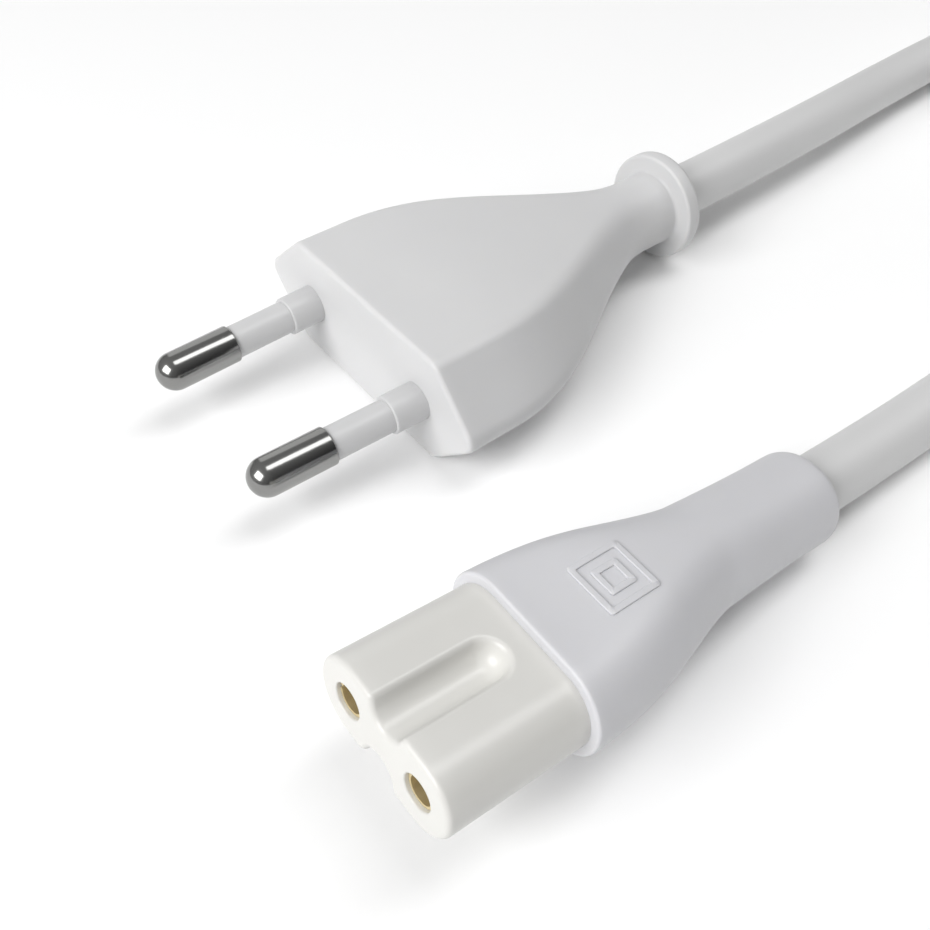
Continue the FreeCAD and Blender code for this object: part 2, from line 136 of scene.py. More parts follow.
@dataclass(frozen=True)
class Finish:
    """Finish of one real material, shared by all the pieces made of it."""

    name: str

    def material(self) -> bpy.types.Material:
        """Find the finish's material, or build it at its first use.

        Returns:
            The material.
        """
        known = bpy.data.materials.get(self.name)
        if known:
            return known
        material = bpy.data.materials.new(self.name)
        material.use_nodes = True
        tree = material.node_tree
        tree.nodes.clear()
        output = add_node(tree, "ShaderNodeOutputMaterial")
        tree.links.new(self.shader(tree).outputs[0], output.inputs[0])
        return material

    def cover(self, piece: bpy.types.Object) -> None:
        """Make the finish a piece's only material."""
        piece.data.materials.clear()
        piece.data.materials.append(self.material())

    def shader(self, tree: bpy.types.NodeTree) -> bpy.types.Node:
        """Add the finish's nodes to a tree, which each kind of finish does in its own way.

        Args:
            tree: The material's node tree.

        Returns:
            The shader node.
        """
        raise NotImplementedError


@dataclass(frozen=True)
class MouldedPlastic(Finish):
    """Plastic as it leaves a mould or die: a faint mottle of colour and a fine tool grain."""

    colour: str
    shade: str
    roughness: float
    roughness_spread: float = 0.06
    ior: float = 1.53
    mottle: float = 14 * MM

    # A mould's real grain is several times finer, too fine to show
    grain: float = 0.30 * MM
    grain_depth: float = 0.004 * MM

    # Soft plastic lets light in by the glow's depth, red a little further than blue
    glow_depth: float = 0.0
    glow_weight: float = 0.35
    glow_reach: Point = (1.0, 0.95, 0.85)

    def shader(self, tree: bpy.types.NodeTree) -> bpy.types.Node:
        """Mottle the colour, and let the grain vary the gloss and the surface.

        Args:
            tree: The material's node tree.

        Returns:
            The shader node.
        """
        place = add_node(tree, "ShaderNodeTexCoord")
        mottle = add_node(tree, "ShaderNodeTexNoise", {"Scale": 1 / self.mottle, "Detail": 3.0},
                          {"Vector": place.outputs["Object"]})
        colour = add_node(tree, "ShaderNodeMix",
                          {"data_type": "RGBA", MIX_FIRST_COLOUR: linear(self.colour),
                           MIX_SECOND_COLOUR: linear(self.shade)}, {MIX_SHARE: mottle.outputs[0]})
        grain = add_node(tree, "ShaderNodeTexNoise", {"Scale": 1 / self.grain, "Detail": 2.0},
                         {"Vector": place.outputs["Object"]})
        rough = add_node(tree, "ShaderNodeMapRange",
                         {"To Min": self.roughness - self.roughness_spread,
                          "To Max": self.roughness + self.roughness_spread}, {"Value": grain.outputs[0]})
        bump = add_node(tree, "ShaderNodeBump", {"Distance": self.grain_depth},
                        {"Height": grain.outputs[0]})
        settings = {"IOR": self.ior}
        if self.glow_depth:
            settings |= {"Subsurface Weight": self.glow_weight, "Subsurface Scale": self.glow_depth,
                         "Subsurface Radius": self.glow_reach}
        return add_node(tree, "ShaderNodeBsdfPrincipled", settings,
                        {"Base Color": colour.outputs[MIX_COLOUR_RESULT], "Roughness": rough.outputs[0],
                         "Normal": bump.outputs[0]})


@dataclass(frozen=True)
class BareMetal(Finish):
    """Drawn or plated metal: polishing streaks along Y and a faint change of tint."""

    colour: str
    tint: str
    roughness: float
    roughness_spread: float

    # Real streaks are several times finer, too fine to show
    streak: float = 0.12 * MM
    streak_length: float = 6 * MM
    streak_depth: float = 0.0015 * MM

    def shader(self, tree: bpy.types.NodeTree) -> bpy.types.Node:
        """Cloud the colour, and let the streaks vary the gloss and the surface.

        Args:
            tree: The material's node tree.

        Returns:
            The shader node.
        """
        place = add_node(tree, "ShaderNodeTexCoord")
        along = add_node(tree, "ShaderNodeMapping",
                         {"Scale": (1 / self.streak, 1 / self.streak_length, 1 / self.streak)},
                         {"Vector": place.outputs["Object"]})
        streaks = add_node(tree, "ShaderNodeTexNoise", {"Scale": 1.0, "Detail": 3.0},
                           {"Vector": along.outputs[0]})
        clouds = add_node(tree, "ShaderNodeTexNoise", {"Scale": 1 / self.streak_length, "Detail": 2.0},
                          {"Vector": place.outputs["Object"]})
        colour = add_node(tree, "ShaderNodeMix",
                          {"data_type": "RGBA", MIX_FIRST_COLOUR: linear(self.colour),
                           MIX_SECOND_COLOUR: linear(self.tint)}, {MIX_SHARE: clouds.outputs[0]})
        rough = add_node(tree, "ShaderNodeMapRange",
                         {"To Min": self.roughness - self.roughness_spread,
                          "To Max": self.roughness + self.roughness_spread},
                         {"Value": streaks.outputs[0]})
        bump = add_node(tree, "ShaderNodeBump", {"Distance": self.streak_depth},
                        {"Height": streaks.outputs[0]})
        return add_node(tree, "ShaderNodeBsdfPrincipled", {"Metallic": 1.0},
                        {"Base Color": colour.outputs[MIX_COLOUR_RESULT], "Roughness": rough.outputs[0],
                         "Normal": bump.outputs[0]})


@dataclass(frozen=True)
class LoopedStrap(Finish):
    """Hook-and-loop strap: matt woven polyamide with a nap of small loops."""

    colour: str
    thread: str
    roughness: float = 0.9
    sheen: float = 0.3

    # Drawn about twice as coarse as real loops, so that they show
    loop: float = 0.7 * MM
    loop_depth: float = 0.15 * MM

    def shader(self, tree: bpy.types.NodeTree) -> bpy.types.Node:
        """Cover the strap with loops that stand out and are lighter than what lies between them.

        Args:
            tree: The material's node tree.

        Returns:
            The shader node.
        """
        place = add_node(tree, "ShaderNodeTexCoord")
        nap = add_node(tree, "ShaderNodeTexVoronoi", {"Scale": 1 / self.loop},
                       {"Vector": place.outputs["Object"]})
        colour = add_node(tree, "ShaderNodeMix",
                          {"data_type": "RGBA", MIX_FIRST_COLOUR: linear(self.colour),
                           MIX_SECOND_COLOUR: linear(self.thread)}, {MIX_SHARE: nap.outputs[0]})
        bump = add_node(tree, "ShaderNodeBump", {"Distance": self.loop_depth}, {"Height": nap.outputs[0]})
        return add_node(tree, "ShaderNodeBsdfPrincipled",
                        {"Roughness": self.roughness, "Sheen Weight": self.sheen},
                        {"Base Color": colour.outputs[MIX_COLOUR_RESULT], "Normal": bump.outputs[0]})


@dataclass(frozen=True)
class MattPaper(Finish):
    """Studio paper: one even tone with hardly any gloss."""

    colour: str
    roughness: float = 0.9
    gloss: float = 0.1

    def shader(self, tree: bpy.types.NodeTree) -> bpy.types.Node:
        """Give the paper its even tone.

        Args:
            tree: The material's node tree.

        Returns:
            The shader node.
        """
        return add_node(tree, "ShaderNodeBsdfPrincipled",
                        {"Base Color": linear(self.colour), "Roughness": self.roughness,
                         "Specular IOR Level": self.gloss})


# Soft PVC from a spark-eroded mould: even satin white that scatters a little light
PLUG_PVC = MouldedPlastic("moulded_white_pvc", "#D1D1D1", "#CACACB", 0.46, glow_depth=0.6 * MM)
# The same kind of PVC from a finer mould: a shade cooler and a little shinier
CONNECTOR_PVC = MouldedPlastic("moulded_cool_white_pvc", "#D0D0D3", "#C9C9CC", 0.42, glow_depth=0.6 * MM)
# PVC sheath drawn smooth by its die: a clearer sheen along the cord, with a longer mottle
CORD_PVC = MouldedPlastic("extruded_white_pvc", "#D3D3D3", "#CCCCCC", 0.40, mottle=30 * MM,
                          grain_depth=0.002 * MM)
# Stiff thermoplastic from a polished mould: a warm off-white with clear highlights
INSERT_PLASTIC = MouldedPlastic("glossy_off_white_pbt", "#D6D5D1", "#D0CFCB", 0.33, ior=1.56,
                                mottle=7 * MM, grain_depth=0.001 * MM, roughness_spread=0.04)
# Thin polyamide sleeve shot over the pin: light grey satin
SLEEVE_PLASTIC = MouldedPlastic("light_grey_polyamide", "#C9C9C9", "#C1C1C2", 0.38)
# Nylon moulded without pigment: a waxy cream
CARRIER_NYLON = MouldedPlastic("natural_nylon", "#DAD6C8", "#D0CBBB", 0.5)
# Thin PVC insulation in the colours of the two poles: an even satin brown and blue
CORE_BROWN = MouldedPlastic("brown_pvc_core", "#5A3A28", "#50321F", 0.4)
CORE_BLUE = MouldedPlastic("blue_pvc_core", "#2E5FA8", "#28539A", 0.4)
# Nickel over brass: near mirror, faintly warm, with fine polishing streaks
PIN_NICKEL = BareMetal("bright_nickel_plate", "#969695", "#8C8C8A", 0.18, 0.04)
# Rolled spring brass, a little dulled: a pale soft gleam inside the holes
CONTACT_BRASS = BareMetal("spring_brass", "#EADDB8", "#DCCB9F", 0.60, 0.08)
# Bare drawn copper: a warm red, half dull
CORE_COPPER = BareMetal("bare_copper", "#C77B54", "#A9603E", 0.35, 0.08)
# Woven polyamide with a napped side: matt dark grey that doesn't gleam
TIE_STRAP = LoopedStrap("grey_hook_and_loop", "#3A3A3C", "#4A4A4D")
# Uncoated paper: a matt white that shows nothing but soft shadows
FLOOR_PAPER = MattPaper("matt_white_paper", "#FAFAFA")


# Outlines and profiles


def ease(share: float) -> float:
    """Smooth fall from 1 to 0 as a share runs from 0 to 1."""
    held = min(max(share, 0.0), 1.0)
    return 0.5 * (1 + math.cos(math.pi * held))


def blend(start: float, end: float, share: float) -> float:
    """Value a share of the way from start to end."""
    return start + (end - start) * share


def steps(start: float, end: float, count: int) -> list[float]:
    """Evenly spaced values from start to end, both included."""
    return [start + (end - start) * i / (count - 1) for i in range(count)]


def rounded_outline(corners: Sequence[Vector], radii: Sequence[float], arc_steps: int,
                    side_steps: int) -> Outline:
    """Points round a polygon with rounded corners, as many at any size.

    Args:
        corners: Sharp corners in order.
        radii: Radius at each corner.
        arc_steps: Divisions of each rounded corner.
        side_steps: Divisions of each straight side.

    Returns:
        The points in order.
    """
    arcs = []
    for i, here in enumerate(corners):
        before = (corners[i - 1] - here).normalized()
        after = (corners[(i + 1) % len(corners)] - here).normalized()
        half = before.angle(after) / 2
        reach = radii[i] / math.tan(half)
        centre = here + (before + after).normalized() * (radii[i] / math.sin(half))
        first = here + before * reach - centre
        last = here + after * reach - centre
        turn = math.pi - 2 * half
        arcs.append([centre + (first * math.sin(turn - a) + last * math.sin(a)) / math.sin(turn)
                     for a in steps(0, turn, arc_steps + 1)])
    points = []
    for i, arc in enumerate(arcs):
        following = arcs[(i + 1) % len(arcs)][0]
        points += arc
        points += [arc[-1].lerp(following, k / side_steps) for k in range(1, side_steps)]
    return points


def round_end(side: int, half_length: float, radius: float, arc_steps: int) -> Outline:
    """Half circle at the right end, side 1, or the left end, side -1, of a slot shape along X."""
    bearings = steps(-math.pi / 2, math.pi / 2, arc_steps + 1)
    return [Vector((half_length + radius * math.cos(a), radius * math.sin(a))) * side for a in bearings]


def obround(half_length: float, radius: float, arc_steps: int, side_steps: int) -> Outline:
    """Points round a slot shape that lies along X.

    Args:
        half_length: Distance from the middle to each end's centre.
        radius: Radius of the ends.
        arc_steps: Divisions of each half circle.
        side_steps: Divisions of each straight side.

    Returns:
        The points in order, from the right end's lowest point.
    """
    points = []
    for side in (1, -1):
        points += round_end(side, half_length, radius, arc_steps)
        between = steps(half_length, -half_length, side_steps + 1)[1:-1]
        points += [Vector((x, radius)) * side for x in between]
    return points


def taut_loop(centres: Sequence[Vector], radius: float, count: int, directions: int = 96) -> Outline:
    """Points of a band drawn tight round a bundle of equal round cords.

    Args:
        centres: Middle of each cord.
        radius: Distance from a cord's middle to the band.
        count: Number of points.
        directions: Number of directions in which the band's reach is found.

    Returns:
        Evenly spaced points, counter-clockwise.
    """
    bearings = steps(0, 2 * math.pi, directions + 1)[:-1]
    around = [Vector((math.cos(a), math.sin(a))) for a in bearings]
    touching = [max(centres, key=lambda c, d=d: c.dot(d)) + d * radius for d in around]
    lengths = [(touching[i] - touching[i - 1]).length for i in range(len(touching))]
    loop = []
    for left in steps(0, sum(lengths), count + 1)[:-1]:
        i = 0
        while left > lengths[i]:
            left -= lengths[i]
            i += 1
        loop.append(touching[i - 1].lerp(touching[i], left / lengths[i]))
    return loop


def circle(radius: float, like: Outline) -> Outline:
    """Points of a circle at the bearings of another outline's points."""
    return [p.normalized() * radius for p in like]


def inset(outline: Outline, depth: float) -> Outline:
    """Move an outline inwards along its own normals.

    Args:
        outline: Points in order, counter-clockwise.
        depth: Distance to move, less than the tightest radius.

    Returns:
        The moved points.
    """
    moved = []
    for i, point in enumerate(outline):
        along = (outline[(i + 1) % len(outline)] - outline[i - 1]).normalized()
        moved.append(point + Vector((-along.y, along.x)) * depth)
    return moved


def ring_at(outline: Outline, y: float) -> Ring:
    """Stand an outline upright at a distance along Y."""
    return [Vector((p.x, y, p.y)) for p in outline]


def rolled_front(outline: Outline, y: float, radius: float, count: int) -> list[Ring]:
    """Rings of a rounded edge that starts from a face at y and runs back to the full outline."""
    return [ring_at(inset(outline, radius * (1 - math.sin(a))), y + radius * (1 - math.cos(a)))
            for a in steps(0, math.pi / 2, count)]


def rolled_back(outline: Outline, y: float, radius: float, count: int) -> list[Ring]:
    """Rings of a rounded edge that ends at a face at y, from the full outline inwards."""
    return [ring_at(inset(outline, radius * (1 - math.cos(a))), y - radius * (1 - math.sin(a)))
            for a in steps(0, math.pi / 2, count)]


def rounded_corner(centre: tuple[float, float], radius: float, start: float, end: float,
                   count: int) -> Profile:
    """Points of an arc in a turned profile.

    Args:
        centre: Middle of the arc, as its distance from the axis and along Y.
        radius: Radius of the arc.
        start: Bearing of the first point in degrees, 0 away from the axis and 90 along Y.
        end: Bearing of the last point in degrees.
        count: Number of points.

    Returns:
        Radius and distance along Y of each point.
    """
    bearings = [math.radians(a) for a in steps(start, end, count)]
    return [(centre[0] + radius * math.cos(a), centre[1] + radius * math.sin(a)) for a in bearings]


# Modelling steps


def clear_selection() -> None:
    """Leave edit mode and deselect every object."""
    if bpy.context.object and bpy.context.object.mode != "OBJECT":
        bpy.ops.object.mode_set(mode="OBJECT")
    bpy.ops.object.select_all(action="DESELECT")


def start_mesh(name: str) -> bpy.types.Object:
    """Start an empty mesh piece and enter edit mode.

    Args:
        name: Name of the piece.

    Returns:
        The piece, in edit mode, with nothing in its mesh.
    """
    clear_selection()
    bpy.ops.object.add(type="MESH")
    piece = bpy.context.object
    piece.name = name
    piece.data.name = name
    bpy.ops.object.mode_set(mode="EDIT")
    return piece


def shape_ring(piece: bpy.types.Object, ring: Ring) -> None:
    """Move the selected ring of vertices to the points of a section.

    Args:
        piece: Object in edit mode.
        ring: The section, with as many points as vertices are selected.
    """
    mesh = bmesh.from_edit_mesh(piece.data)
    for vertex, point in zip([v for v in mesh.verts if v.select], ring, strict=True):
        vertex.co = point
    bmesh.update_edit_mesh(piece.data)


def extrude_rings(piece: bpy.types.Object, rings: Sequence[Ring]) -> None:
    """Add a ring to a mesh in edit mode and extrude it through a row of sections.

    Args:
        piece: Object in edit mode.
        rings: Sections in order, with as many points in each.
    """
    bpy.ops.mesh.select_all(action="DESELECT")
    bpy.ops.mesh.primitive_circle_add(vertices=len(rings[0]), radius=1.0)
    shape_ring(piece, rings[0])
    for ring in rings[1:]:
        bpy.ops.mesh.extrude_region_move()
        shape_ring(piece, ring)


def select_open_edges(piece: bpy.types.Object, y: Optional[float] = None) -> None:
    """Select a mesh's open edges.

    Args:
        piece: Object in edit mode.
        y: Distance along Y of the plane whose edges are wanted, or None for all.
    """
    bpy.ops.mesh.select_all(action="DESELECT")
    mesh = bmesh.from_edit_mesh(piece.data)
    for edge in mesh.edges:
        in_plane = y is None or all(abs(v.co.y - y) < PLANE_TOLERANCE for v in edge.verts)
        if edge.is_boundary and in_plane:
            edge.select_set(True)
    bmesh.update_edit_mesh(piece.data)


def fill_open_ends(piece: bpy.types.Object, places: Sequence[float]) -> None:
    """Close the flat openings of a mesh in edit mode, round any holes in them.

    Args:
        piece: Object in edit mode.
        places: Distance along Y of each opening.
    """
    for y in places:
        select_open_edges(piece, y)
        bpy.ops.mesh.fill()


def close_mesh(piece: bpy.types.Object, place: Matrix, smooth_angle: float = 40.0) -> None:
    """Merge doubles, turn faces outwards, leave edit mode and bring a mesh to its place.

    Args:
        piece: Object in edit mode.
        place: Transform from the piece's own axes to the frame.
        smooth_angle: Edges flatter than this are shaded smooth, in degrees.
    """
    bpy.ops.mesh.select_all(action="SELECT")
    bpy.ops.mesh.remove_doubles(threshold=WELD_DISTANCE)
    bpy.ops.mesh.normals_make_consistent(inside=False)
    bpy.ops.object.mode_set(mode="OBJECT")
    bpy.ops.object.shade_smooth_by_angle(angle=math.radians(smooth_angle))
    piece.data.transform(place)
    piece.data.update()


def lathe(name: str, profile: Profile, place: Matrix, turns: int = 72) -> bpy.types.Object:
    """Model a turned piece by extruding a profile and spinning it round Y.

    Args:
        name: Name of the piece.
        profile: Radius and distance along Y of each point of the profile.
        place: Transform from the piece's own axes to the frame.
        turns: Divisions round the axis.

    Returns:
        The finished piece.
    """
    piece = start_mesh(name)
    radius, y = profile[0]
    # A small plane, merged to one point, starts the profile
    bpy.ops.mesh.primitive_plane_add(size=1 * MM, location=(0, 0, 0))
    bpy.ops.mesh.merge(type="CENTER")
    bpy.ops.transform.translate(value=(radius, y, 0))
    for (r0, y0), (r1, y1) in zip(profile, profile[1:]):
        bpy.ops.mesh.extrude_region_move(TRANSFORM_OT_translate={"value": (r1 - r0, y1 - y0, 0)})
    bpy.ops.mesh.select_all(action="SELECT")
    bpy.ops.mesh.spin(steps=turns, angle=2 * math.pi, center=(0, 0, 0), axis=(0, 1, 0))
    close_mesh(piece, place)
    return piece


def dress(piece: bpy.types.Object, finish: Finish,
          nodes: Sequence[str] = ()) -> bpy.types.Object:
    """Give a piece its finish, let it ride on the lead and hide the solids that it replaces.

    Args:
        piece: Finished piece.
        finish: Its finish.
        nodes: Solids that the piece replaces.

    Returns:
        The same piece.
    """
    finish.cover(piece)
    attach(piece, BODY)
    if nodes:
        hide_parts(*nodes)
    LOG.info("made %s in %s", piece.name, finish.name)
    return piece


def mount(name: str) -> tuple[Vector, Vector]:
    """Place and axis of one of the record's mounts."""
    found = next(m for m in frame["record"]["mounts"] if m["name"] == name)
    return Vector(found["pos_m"]), Vector(found["axis"])


# The plug


@dataclass
class Plug:
    """Flat two-pin plug: its moulded body and its two sleeved pins."""

    # Body, six-sided at the face and round at the neck. A band, here and below, is a narrow
    # ring of faces beside a rounded edge, which keeps the shading of the flat beyond it even
    front_length: float = 6.5 * MM
    side_angle: float = 45.0
    round_side_angle: float = 60.0
    tip_radius: float = 1.8 * MM
    corner_radius: float = 2.0 * MM
    face_edge: float = 0.5 * MM
    face_band: float = 0.8 * MM
    neck_radius: float = 4.35 * MM
    neck_length: float = 1.5 * MM
    neck_fillet: float = 0.4 * MM
    neck_corner_share: float = 0.85
    neck_round_power: int = 18

    # Flange, and the hole for the cord
    flange_radius: float = 6.4 * MM
    flange_thickness: float = 2.2 * MM
    flange_front_edge: float = 0.35 * MM
    flange_back_edge: float = 0.8 * MM
    flange_band_share: float = 0.2
    cord_radius: float = 3.2 * MM
    cord_depth: float = 10.0 * MM
    cord_rim: float = 0.12 * MM
    cord_rim_sag: float = 0.3

    # Pins and sleeves, and the pockets that hold them
    pin_spacing: float = 18.6 * MM
    pin_tip_spacing: float = 17.5 * MM
    pin_length: float = 19.0 * MM
    pin_radius: float = 2.0 * MM
    pin_edge: float = 0.12 * MM
    shank_radius: float = 1.25 * MM
    sleeve_radius: float = 1.75 * MM
    sleeve_length: float = 10.4 * MM
    sleeve_edge: float = 0.2 * MM
    collar_radius: float = 2.05 * MM
    collar_length: float = 3.7 * MM
    collar_depth: float = 2.4 * MM
    pocket_depth: float = 12.2 * MM
    pocket_band_share: float = 1.25
    carrier_back: float = 6.0 * MM
    shoulder_radius: float = 2.3 * MM
    shoulder_thickness: float = 1.0 * MM
    crimp_radius: float = 1.5 * MM
    crimp_length: float = 5.0 * MM
    crimp_bore: float = 0.55 * MM
    crimp_depth: float = 4.0 * MM

    def __post_init__(self) -> None:
        """Take the plug's main sizes and place from its solid."""
        low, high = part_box("plug_body")
        self.half_width = (high.x - low.x) / 2
        self.half_height = (high.z - low.z) / 2
        self.length = high.y - low.y - self.flange_thickness
        self.taper_end = self.length - self.neck_length
        self.back_y = self.length + self.flange_thickness
        self.place = Matrix.Translation((0, low.y, (high.z + low.z) / 2))
        self.pin_tilt = math.atan((self.pin_spacing - self.pin_tip_spacing) / 2 / self.pin_length)

    def section(self, y: float) -> Outline:
        """Six-sided outline of the body, which is quite round at the neck.

        Args:
            y: Distance behind the face.

        Returns:
            The outline's points, as many at any distance.
        """
        fall = ease((y - self.front_length) / (self.taper_end - self.front_length))
        half_width = blend(self.neck_radius, self.half_width, fall)
        half_height = blend(self.neck_radius, self.half_height, fall)
        angle = math.radians(blend(self.round_side_angle, self.side_angle, fall))
        neck_corner = self.neck_corner_share * self.neck_radius
        tip = blend(neck_corner, self.tip_radius, fall)
        corner = blend(neck_corner, self.corner_radius, fall)
        # The sharp tip lies outside the rounded one, which gives the body its width
        tip_x = half_width + tip * (1 / math.sin(angle) - 1)
        flat_x = tip_x - half_height / math.tan(angle)
        upper = [Vector((tip_x, 0)), Vector((flat_x, half_height)), Vector((-flat_x, half_height))]
        corners = upper + [-p for p in upper]
        outline = rounded_outline(corners, [tip, corner, corner] * 2, arc_steps=16, side_steps=4)
        roundness = (1 - fall) ** self.neck_round_power
        return [p.lerp(p.normalized() * self.neck_radius, roundness) for p in outline]

    def tail_profile(self) -> Profile:
        """Turned profile of the neck's end, the flange and the hole for the cord.

        Returns:
            Radius and distance behind the face of each point.
        """
        fillet = self.neck_fillet
        profile = [(self.neck_radius, self.length - fillet)]
        profile += rounded_corner((self.neck_radius + fillet, self.length - fillet), fillet, 180, 90,
                                  count=6)[1:]
        edge = self.flange_front_edge
        flat_radius = self.flange_radius - edge
        profile += [(flat_radius - self.flange_band_share * edge, self.length)]
        profile += rounded_corner((flat_radius, self.length + edge), edge, -90, 0, count=7)
        edge = self.flange_back_edge
        flat_radius = self.flange_radius - edge
        profile += rounded_corner((flat_radius, self.back_y - edge), edge, 0, 90, count=9)
        profile += [(flat_radius - self.flange_band_share * edge, self.back_y)]
        rim = self.cord_rim
        return profile + [
            (self.cord_radius + 2 * rim, self.back_y),
            (self.cord_radius + rim, self.back_y - self.cord_rim_sag * rim),
            (self.cord_radius, self.back_y - rim),
            (self.cord_radius, self.back_y - self.cord_depth)]

    def body_rings(self) -> list[Ring]:
        """Sections of the body from its face to the bottom of the hole for the cord.

        Returns:
            The sections in order.
        """
        front = self.section(0)
        rings = [ring_at(inset(front, self.face_band), 0)]
        rings += rolled_front(front, 0, self.face_edge, count=7)
        rings += [ring_at(self.section(y), y) for y in steps(self.face_edge, self.taper_end, count=64)[1:]]
        neck = self.section(self.taper_end)
        return rings + [ring_at(circle(r, neck), y) for r, y in self.tail_profile()]

    def pin_place(self, pole: Pole) -> Matrix:
        """Transform from a pin's own axes, with its root at the plug's face, to the plug's axes."""
        root = Matrix.Translation((pole.value * self.pin_spacing / 2, 0, 0))
        return root @ Matrix.Rotation(-pole.value * self.pin_tilt, 4, "Z")

    def build_body(self) -> None:
        """Model the moulded body with its pockets for the pins and its hole for the cord."""
        body = start_mesh("plug_moulding")
        extrude_rings(body, self.body_rings())
        mouth = circle(self.collar_radius, obround(0, self.collar_radius, arc_steps=18, side_steps=2))
        for pole in Pole:
            place = self.pin_place(pole)
            centre = Vector((pole.value * self.pin_spacing / 2, 0))
            band = ring_at([p * self.pocket_band_share + centre for p in mouth], 0)
            rim = ring_at([p + centre for p in mouth], 0)
            bottom = [place @ p for p in ring_at(mouth, self.pocket_depth)]
            extrude_rings(body, [band, rim, bottom])
        fill_open_ends(body, [0, self.back_y - self.cord_depth])
        # The bottoms of the pockets lie aslant, and are the only openings left
        select_open_edges(body)
        bpy.ops.mesh.edge_face_add()
        close_mesh(body, self.place)
        dress(body, PLUG_PVC, ["plug_body"])

    def pin_profile(self) -> Profile:
        """Turned profile of a pin: ball end, bare length, thin shank, shoulder and crimp.

        Returns:
            Radius and distance behind the face of each point.
        """
        root = -self.sleeve_length
        edge = self.pin_edge
        shoulder_end = self.carrier_back + self.shoulder_thickness
        end = shoulder_end + self.crimp_length
        ball = rounded_corner((0, self.pin_radius - self.pin_length), self.pin_radius, -90, 0, count=17)
        rim = rounded_corner((self.pin_radius - edge, root - edge), edge, 0, 90, count=5)
        return ball + rim + [
            (self.shank_radius, root), (self.shank_radius, self.carrier_back),
            (self.shoulder_radius, self.carrier_back), (self.shoulder_radius, shoulder_end),
            (self.crimp_radius, shoulder_end), (self.crimp_radius, end),
            (self.crimp_bore, end), (self.crimp_bore, end - self.crimp_depth), (0, end - self.crimp_depth)]

    def sleeve_profile(self) -> Profile:
        """Turned profile of a sleeve: thin length, and the collar that enters the face.

        Returns:
            Radius and distance behind the face of each point.
        """
        edge = self.sleeve_edge
        tip = -self.sleeve_length
        step_y = -self.collar_length
        thin_end = rounded_corner((self.sleeve_radius - edge, tip + edge), edge, -90, 0, count=6)
        collar = rounded_corner((self.collar_radius - edge, step_y + edge), edge, -90, 0, count=6)
        start = (self.shank_radius, tip)
        return [start] + thin_end + [(self.sleeve_radius, step_y)] + collar + [
            (self.collar_radius, self.collar_depth), (self.shank_radius, self.collar_depth), start]

    def build_pins(self) -> None:
        """Model both pins and their sleeves."""
        for pole in Pole:
            place = self.place @ self.pin_place(pole)
            pin = lathe(f"plug_pin_{pole.label}", self.pin_profile(), place)
            dress(pin, PIN_NICKEL, [f"pin_{pole.label}"])
            sleeve = lathe(f"plug_sleeve_{pole.label}", self.sleeve_profile(), place)
            dress(sleeve, SLEEVE_PLASTIC, [f"pin_sleeve_{pole.label}"])

    def build(self) -> None:
        """Model and dress the whole plug."""
        self.build_body()
        self.build_pins()


# The connector


